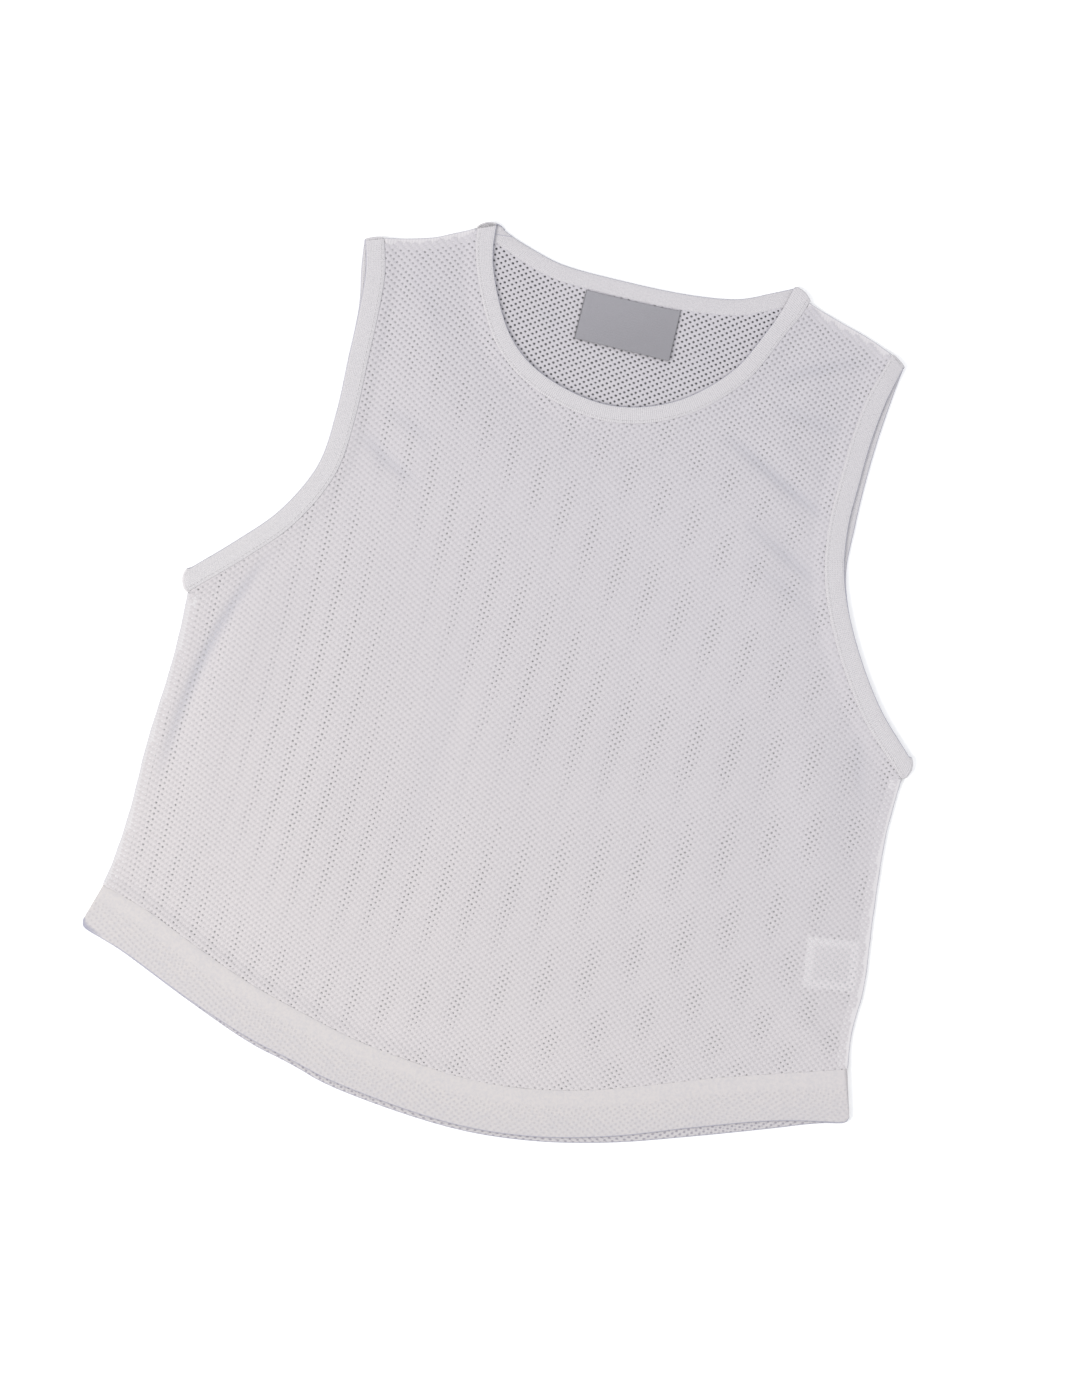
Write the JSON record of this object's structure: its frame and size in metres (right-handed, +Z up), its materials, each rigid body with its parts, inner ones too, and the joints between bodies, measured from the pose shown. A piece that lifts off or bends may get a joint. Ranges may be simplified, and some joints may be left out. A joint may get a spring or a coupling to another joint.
{
  "type": "training bib",
  "caption": "Sleeveless open-mesh training bib laid flat with its front up: deep round neck, taped neck and armholes, curved hem, neck and care labels.",
  "frame": {"origin": "middle of the laid garment's box, at the surface that it lies on", "axes": "+Z up from the surface through back and front, +Y from the hem to the neck, +X to the right as seen from above with the front up"},
  "size_m": [0.4948, 0.5625, 0.0048],
  "materials": {
    "mesh": "white warp-knit polyester mesh with round holes, matte",
    "mesh_hem": "the same mesh turned up and doubled, matte",
    "knit_tape": "white smooth knit tape, folded, matte",
    "grey_label": "grey woven satin label, bare",
    "white_label": "white woven label, bare"
  },
  "bodies": {
    "root": {"front_panel": "mesh", "back_panel": "mesh", "front_hem": "mesh_hem", "back_hem": "mesh_hem", "neck_binding": "knit_tape", "armhole_binding_left": "knit_tape", "armhole_binding_right": "knit_tape", "neck_label": "grey_label", "care_label": "white_label"}
  },
  "joints": []
}
